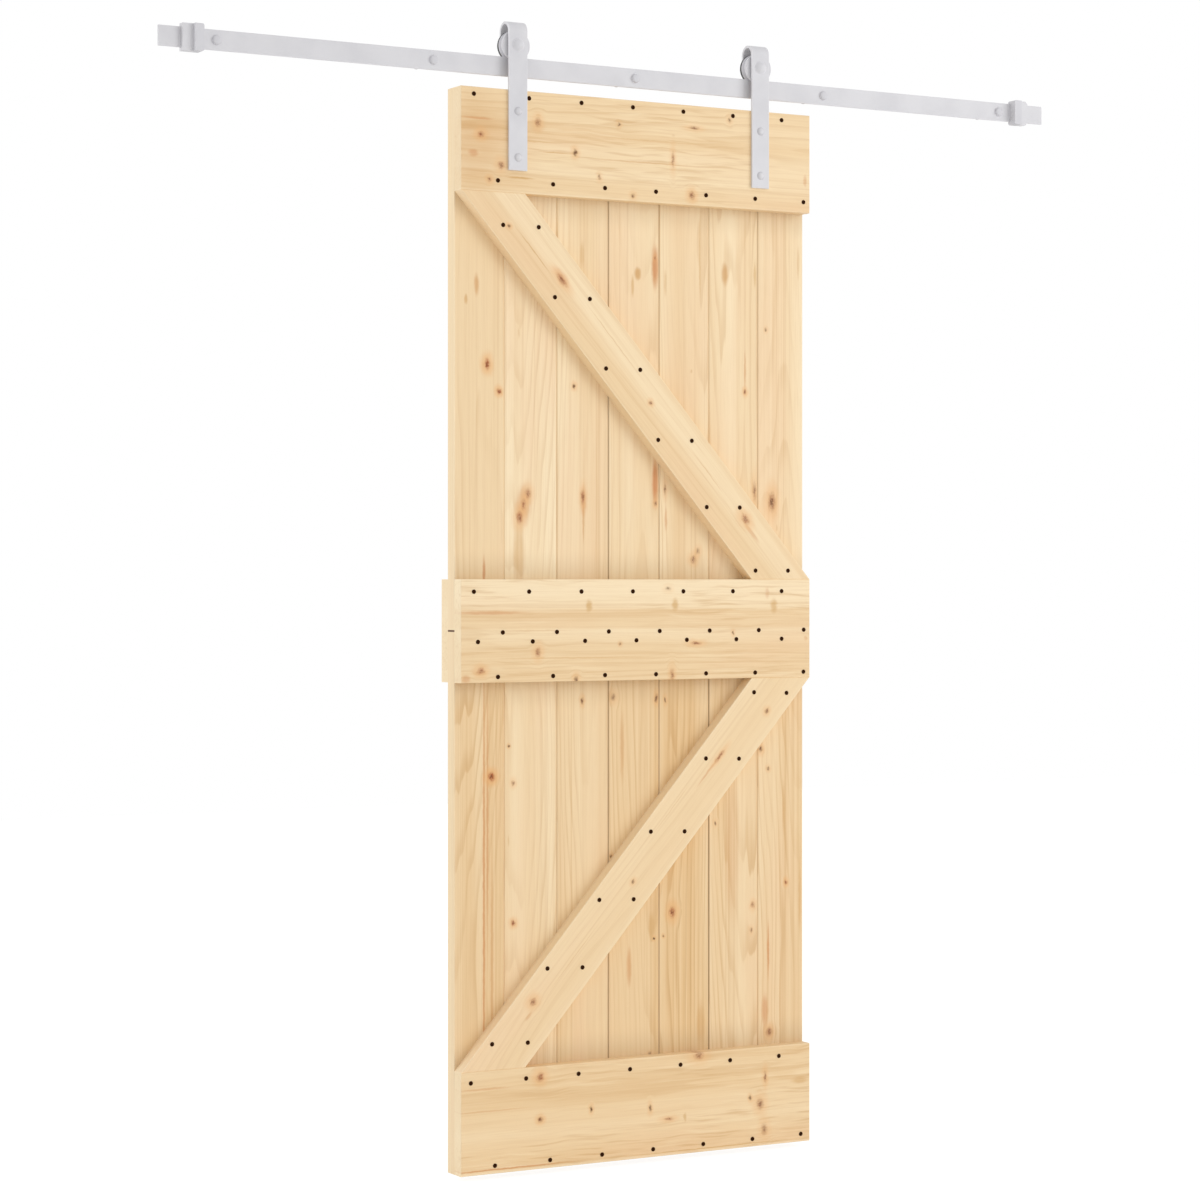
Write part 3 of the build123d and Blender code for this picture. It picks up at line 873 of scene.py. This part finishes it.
def turned_heads(name, body, seat, centres, start, reach, rise, swell=1.0):
    """Joined round heads on a plane that faces the room.

    Each head is a turned profile of rings, each with a reach from the head's middle and a rise in front of
    the seat. The reach may swell with the angle, and each head starts at its own angle. Quads join each ring
    to the next one, and flat lids close the first and the last.
    """
    turn = np.linspace(0, 2 * np.pi, HEAD_SEGMENTS, endpoint=False)
    ring = reach[:, None] * swell
    angle = start[:, None, None] + turn
    x = centres[:, 0, None, None] + ring * np.cos(angle)
    z = centres[:, 1, None, None] + ring * np.sin(angle)
    y = np.broadcast_to(seat - rise[None, :, None], x.shape)
    points = np.stack([x, y, z], axis=-1).reshape(-1, 3)
    number = np.arange(len(points)).reshape(len(centres), len(reach), HEAD_SEGMENTS)
    following = np.roll(number, -1, axis=2)
    quads = np.stack([number[:, :-1], following[:, :-1], following[:, 1:], number[:, 1:]], axis=-1)
    lids = [*number[:, 0, ::-1].tolist(), *number[:, -1].tolist()]
    mesh = bpy.data.meshes.new(name)
    mesh.from_pydata(points.tolist(), [], [*quads.reshape(-1, 4).tolist(), *lids])
    mesh.validate()
    piece = bpy.data.objects.new(name, mesh)
    bpy.context.scene.collection.objects.link(piece)
    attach(piece, body)
    return piece


class AddTrackBoltHeads(bpy.types.Operator):
    """Paint the track's bolts and set their wide domed heads over the plain ones"""

    bl_idname = "plank_door.add_track_bolt_heads"
    bl_label = "Add track bolt heads"

    def execute(self, context):
        sizes = context.scene.bolt_sizes
        low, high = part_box("track_bolts")
        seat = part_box("track")[0].y
        # Painted light on the flanks of the track bolts' heads, lightening their shaded side
        flank = depth_tint(seat, PAINTED_FLANK_LIGHT, 0.8, "worn_paint_and_painted_light")
        # The darker tone over the whole of each track bolt's head is painted shade
        finish = painted_steel("fixing_paint", "paint_tone_and_painted_shade", BOLT_ROUGHNESS, [flank])
        dress("track_bolts", finish)
        inset = (high.z - low.z) / 2
        across = np.linspace(low.x + inset, high.x - inset, TRACK_BOLTS)
        centres = np.stack([across, np.full(TRACK_BOLTS, low.z + inset)], axis=-1)
        reach = np.array(DOME_REACH) * sizes.head_radius
        rise = np.array(DOME_RISE) * sizes.head_rise
        heads = turned_heads("track_bolt_heads", "track", seat, centres, np.zeros(TRACK_BOLTS), reach, rise)
        heads.data.shade_smooth()
        heads.data.materials.append(finish)
        return {"FINISHED"}


class DressStops(bpy.types.Operator):
    """Paint the stop collars and give the bumpers their rubber"""

    bl_idname = "plank_door.dress_stops"
    bl_label = "Dress stops"

    def execute(self, context):
        rubber = painted_steel("bumper_rubber", "rubber", RUBBER_ROUGHNESS)
        for side in ("left", "right"):
            node = f"{side}_stop_collar"
            dress(node, painted_steel(node, worn=[edge_wear_and_highlight(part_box(node), 2)]))
            dress(f"{side}_stop_bumper", rubber)
        return {"FINISHED"}


# Screws are given in millimetres from the leaf's left edge and bottom too.
# Rows of screws: height, places of the first and the second one, and how much nearer the last one is
screw_rows = (
    (2086.0, 27.9, 148.5, 0.0),
    (1922.0, 80.2, 201.6, 0.0),
    (1126.0, 27.9, 148.5, 0.0),
    (1047.0, 90.7, 210.2, 8.0),
    (1029.0, 36.7, 156.6, 8.0),
    (961.0, 80.2, 201.6, 0.0),
    (179.0, 21.3, 141.9, 0.0),
    (15.6, 73.6, 195.0, 0.0),
)
# Pairs of screws down each brace: place and height of the left one
brace_pairs = {
    "upper_brace": (
        (91.5, 1836.5), (205.7, 1701.6), (320.4, 1566.0), (439.8, 1427.7), (553.0, 1295.2), (668.8, 1167.8),
    ),
    "lower_brace": (
        (665.3, 921.0), (551.1, 790.0), (422.9, 648.0), (305.2, 518.0), (189.1, 390.0), (67.4, 251.0),
    ),
}
# How far the right one of a pair stands beside the left one, and how much lower
PAIR_WIDTH = 78.2
pair_drops = {"upper_brace": 0.0, "lower_brace": 2.6}

# A screw's head: reach of each ring as a share of the radius, which rings have lobes, how far they are drawn
# in between the lobes, and how deep the underside sits in the wood
SCREW_REACH = (0.25, 0.98, 1.0, 0.93, 0.78, 0.52, 0.44, 0.02)
LOBED_RINGS = (0, 0, 0, 0, 0, 1, 1, 0)
LOBE_DEPTH = 0.58
SEATED = 0.2 * MM
SCREW_SHEEN = 0.06
SCREW_WAVES = 1500


def screw_heads(name, places):
    """Joined screw heads on the front of the rails.

    Each head is a turned profile: rings of radius and rise from the middle of its underside, round its rim,
    over its crown and down into a cross recess. In the recess the radius is drawn in between four lobes with
    the square of the sine of twice the angle. Each head has its own turn.
    """
    sizes = bpy.context.scene.screw_sizes
    draw = np.random.default_rng(len(places))
    top = sizes.head_rise
    recess = top - sizes.recess_depth
    reach = np.array(SCREW_REACH) * sizes.head_radius
    rise = np.array((-SEATED, -SEATED, 0.45 * top, 0.85 * top, top, top, recess, recess))
    turn = np.linspace(0, 2 * np.pi, HEAD_SEGMENTS, endpoint=False)
    lobes = 1 - np.array(LOBED_RINGS)[:, None] * LOBE_DEPTH * np.sin(2 * turn) ** 2
    centres = np.array([leaf_place(*place) for place in places])
    start = draw.uniform(0, np.pi / 2, len(centres))
    return turned_heads(name, "door", rail_front, centres, start, reach, rise, lobes)


class AddScrews(bpy.types.Operator):
    """Add the black screws, one to each board in every row and two at each step of a brace"""

    bl_idname = "plank_door.add_screws"
    bl_label = "Add screws"

    def execute(self, context):
        sizes = context.scene.screw_sizes
        material, shader, field = start_finish("black_screw_steel")
        speckle = object_place(field).noise(SCREW_WAVES, SCREW_WAVES)
        black = field.blend(speckle * 0.3, sizes.black, sizes.brown)
        plug(shader, SCREW_SHEEN, Base_Color=black, Roughness=0.55 + 0.2 * speckle)
        spread = sizes.pitch / MM * np.arange(len(BOARD_NUMBERS) - 1)
        rows = [
            (place, height)
            for height, first, second, nearer in screw_rows
            for place in (first, *(second + spread[:-1]), second + spread[-1] - nearer)
        ]
        pairs = [
            (place + side * PAIR_WIDTH, height - side * pair_drops[brace])
            for brace, lefts in brace_pairs.items()
            for place, height in lefts
            for side in (0, 1)
        ]
        for name, places in (("rail_screws", rows), ("brace_screws", pairs)):
            screw_heads(name, places).data.materials.append(material)
        return {"FINISHED"}


# The stage: lamps, the camera's sensor in millimetres, and the floor with its share of plain white
KEY_PLACE = (6.0, -6.8, 0.9)
KEY_SIZE = 6.0
FILL_PLACE = (-5.0, 1.2, 0.3)
FILL_SIZE = 3.0
SENSOR_WIDTH = 36
FLOOR_HALF = 9.0
FLOOR_LINES = 9
FLOOR_GREY = (0.9, 0.9, 0.9, 1)
FLOOR_ROUGHNESS = 0.9
FLOOR_WHITE = 1.25
FLOOR_WHITE_SHARE = 0.7


def backdrop_rays(field):
    """1 for rays from the camera or from gloss or glass, which see the plain white ground."""
    path = field.make("ShaderNodeLightPath")
    camera, gloss, glass = (path.sibling(f"Is {kind} Ray") for kind in ("Camera", "Glossy", "Transmission"))
    return camera.most(gloss).most(glass)


def soft_lamp(name, place, target, size, power):
    """Square soft lamp that faces a target."""
    lamp = bpy.data.lights.new(name, "AREA")
    lamp.size = size
    lamp.energy = power
    holder = bpy.data.objects.new(name, lamp)
    holder.location = place
    aim = np.array(target) - np.array(place)
    flat = math.hypot(aim[0], aim[1])
    holder.rotation_euler = (math.atan2(flat, -aim[2]), 0, math.atan2(-aim[0], aim[1]))
    bpy.context.scene.collection.objects.link(holder)


class SetStage(bpy.types.Operator):
    """Set the floor, the lamps, the white ground and the camera"""

    bl_idname = "plank_door.set_stage"
    bl_label = "Set stage"

    def execute(self, context):
        scene = context.scene
        studio = scene.studio
        self.lay_floor(studio)
        self.light_world(studio)
        target = (leaf_low + leaf_high) / 2
        soft_lamp("key_lamp", KEY_PLACE, target, KEY_SIZE, studio.key_power)
        soft_lamp("fill_lamp", FILL_PLACE, target, FILL_SIZE, studio.fill_power)
        camera = bpy.data.objects.new("camera", bpy.data.cameras.new("camera"))
        camera.data.sensor_width = SENSOR_WIDTH
        camera.data.lens = studio.camera_lens
        camera.data.shift_y = studio.camera_drop
        camera.location = studio.camera_place
        camera.rotation_euler = (math.pi / 2, 0, -studio.camera_turn)
        scene.collection.objects.link(camera)
        scene.camera = camera
        scene.view_settings.view_transform = "Standard"
        return {"FINISHED"}

    def lay_floor(self, studio):
        """Pale floor under the leaf: a flat square grid, white to the camera but for a soft shadow."""
        line = np.linspace(-FLOOR_HALF, FLOOR_HALF, FLOOR_LINES)
        x, y = np.meshgrid(line, line)
        z = np.full(x.shape, leaf_low.z - studio.floor_gap)
        points = np.stack([x, y, z], axis=-1).reshape(-1, 3)
        number = np.arange(len(points)).reshape(x.shape)
        quads = np.stack([number[:-1, :-1], number[:-1, 1:], number[1:, 1:], number[1:, :-1]], axis=-1)
        mesh = bpy.data.meshes.new("floor")
        mesh.from_pydata(points.tolist(), [], quads.reshape(-1, 4).tolist())
        floor = bpy.data.objects.new("floor", mesh)
        bpy.context.scene.collection.objects.link(floor)
        material, shader, field = start_finish("floor_white")
        shader.inputs["Base Color"].default_value = FLOOR_GREY
        shader.inputs["Roughness"].default_value = FLOOR_ROUGHNESS
        white = field.make("ShaderNodeEmission", None, {"Strength": FLOOR_WHITE})
        share = backdrop_rays(field) * FLOOR_WHITE_SHARE
        lit = Field(field.tree, shader.outputs[0])
        mixed = field.make("ShaderNodeMixShader", None, {0: share, 1: lit, 2: white})
        output = field.tree.nodes["Material Output"]
        field.tree.links.new(mixed.socket, output.inputs["Surface"])
        mesh.materials.append(material)

    def light_world(self, studio):
        """White world: full white as a ground, and the ambient share as light."""
        world = bpy.data.worlds.new("white_world")
        world.use_nodes = True
        bpy.context.scene.world = world
        field = Field(world.node_tree)
        ground = world.node_tree.nodes["Background"]
        ground.inputs["Color"].default_value = (1, 1, 1, 1)
        seen = backdrop_rays(field)
        strength = seen + (1 - seen) * studio.ambient
        world.node_tree.links.new(strength.socket, ground.inputs["Strength"])


class PlankDoorPanel(bpy.types.Panel):
    """Sidebar panel with the looks and the steps of the door"""

    bl_idname = "VIEW3D_PT_plank_door"
    bl_label = "Plank Door"
    bl_space_type = "VIEW_3D"
    bl_region_type = "UI"
    bl_category = "Plank Door"

    def draw(self, context):
        for group in look_groups:
            settings = getattr(context.scene, group)
            for key in settings.__annotations__:
                self.layout.prop(settings, key)
        for step in steps:
            self.layout.operator(step.bl_idname)


look_groups = {
    "pine_looks": PineLooks,
    "steel_looks": SteelLooks,
    "screw_sizes": ScrewSizes,
    "bolt_sizes": BoltSizes,
    "studio": StudioLooks,
}
steps = (
    DressBoards,
    DressRails,
    DressBraces,
    DressHangers,
    DressWheels,
    DressTrack,
    AddTrackBoltHeads,
    DressStops,
    AddScrews,
    SetStage,
)


def register():
    """Register the classes and hang the groups of looks on the scene."""
    for kind in (*look_groups.values(), *steps, PlankDoorPanel):
        bpy.utils.register_class(kind)
    for key, kind in look_groups.items():
        setattr(bpy.types.Scene, key, bpy.props.PointerProperty(type=kind))


def unregister():
    """Take the groups of looks and the classes away again."""
    for key in look_groups:
        delattr(bpy.types.Scene, key)
    for kind in reversed((*look_groups.values(), *steps, PlankDoorPanel)):
        bpy.utils.unregister_class(kind)


def main():
    """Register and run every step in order."""
    register()
    for step in steps:
        group, operator = step.bl_idname.split(".")
        getattr(getattr(bpy.ops, group), operator)()


if __name__ == "__main__":
    main()
